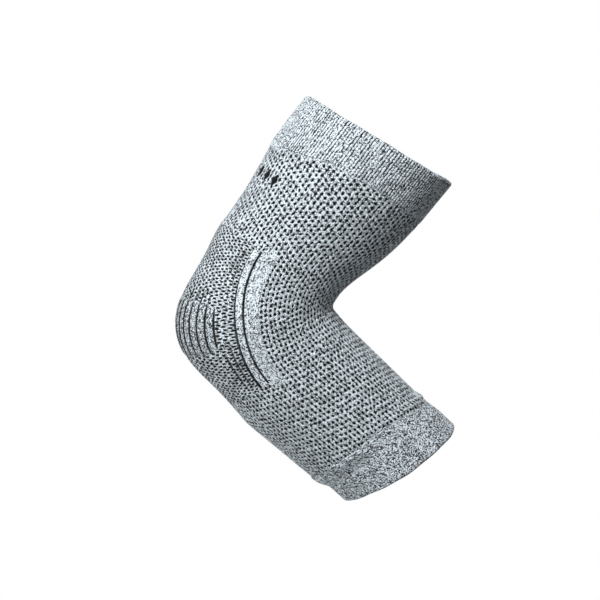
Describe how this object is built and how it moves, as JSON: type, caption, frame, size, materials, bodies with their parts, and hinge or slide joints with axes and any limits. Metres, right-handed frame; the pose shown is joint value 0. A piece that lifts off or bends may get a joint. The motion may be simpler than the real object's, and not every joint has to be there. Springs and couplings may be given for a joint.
{
  "type": "knitted elbow pad sleeve",
  "caption": "Bent knitted elbow sleeve with a ribbed pad over the elbow point, mesh-knit arm tubes and elastic welts at both open ends.",
  "frame": {"origin": "centre of the upper cuff's bore, where the sleeve grips the upper arm", "axes": "+Z along the upper-arm axis towards the shoulder, +X towards the crook and the hand, +Y across the arm; the sleeve is symmetric about the plane Y = 0"},
  "size_m": [0.1782, 0.0936, 0.1752],
  "materials": {
    "mesh_knit": "heather grey open mesh knit, nylon and spandex, matt with a soft sheen",
    "rib_welt": "heather grey fine rib knit welt, matt",
    "plain_welt": "heather grey plain knit welt, matt",
    "linking_thread": "light grey linking thread",
    "elastic_thread": "white covered elastic thread",
    "pad_knit": "heather grey thick ribbed double knit, matt",
    "plain_knit": "heather grey smooth plain knit, matt with a soft sheen"
  },
  "bodies": {
    "upper_arm": {"upper_arm_knit": "mesh_knit", "upper_arm_bend_knit": "mesh_knit", "upper_cuff_seam": "linking_thread", "upper_cuff_face": "rib_welt", "upper_cuff_lining": "rib_welt", "upper_cuff_fold": "rib_welt", "upper_elastic_1": "elastic_thread", "upper_elastic_2": "elastic_thread", "upper_elastic_3": "elastic_thread", "upper_elastic_4": "elastic_thread"},
    "elbow": {"elbow_pad_base": "pad_knit", "elbow_tuck_knit": "pad_knit", "elbow_rib_01": "pad_knit", "elbow_rib_02": "pad_knit", "elbow_rib_03": "pad_knit", "elbow_rib_04": "pad_knit", "elbow_rib_05": "pad_knit", "elbow_rib_06": "pad_knit", "elbow_rib_07": "pad_knit", "elbow_rib_08": "pad_knit", "elbow_rib_09": "pad_knit", "elbow_rib_10": "pad_knit", "elbow_rib_11": "pad_knit", "elbow_rib_12": "pad_knit", "elbow_rib_13": "pad_knit", "side_band_left": "plain_knit", "side_band_right": "plain_knit", "plain_band_left": "plain_knit", "plain_band_right": "plain_knit", "crook_knit": "mesh_knit"},
    "forearm": {"forearm_knit": "mesh_knit", "forearm_bend_knit": "mesh_knit", "lower_cuff_seam": "linking_thread", "lower_cuff_face": "plain_welt", "lower_cuff_lining": "plain_welt", "lower_cuff_fold": "plain_welt", "lower_elastic_1": "elastic_thread", "lower_elastic_2": "elastic_thread", "lower_elastic_3": "elastic_thread"}
  },
  "joints": [
    {"name": "elbow_upper_bend", "type": "hinge", "parent": "upper_arm", "child": "elbow", "pos_m": [0, 0, -0.0882], "axis": [0, -1, 0], "range_deg": [-42.5, 20], "deforming": ["upper_arm_bend_knit", "crook_knit"]},
    {"name": "elbow_lower_bend", "type": "hinge", "parent": "elbow", "child": "forearm", "pos_m": [0.01992, 0, -0.10994], "axis": [0, -1, 0], "range_deg": [-42.5, 20], "deforming": ["forearm_bend_knit"]}
  ],
  "couplings": [
    {"joint": "elbow_lower_bend", "follows": "elbow_upper_bend", "ratio": 1}
  ]
}
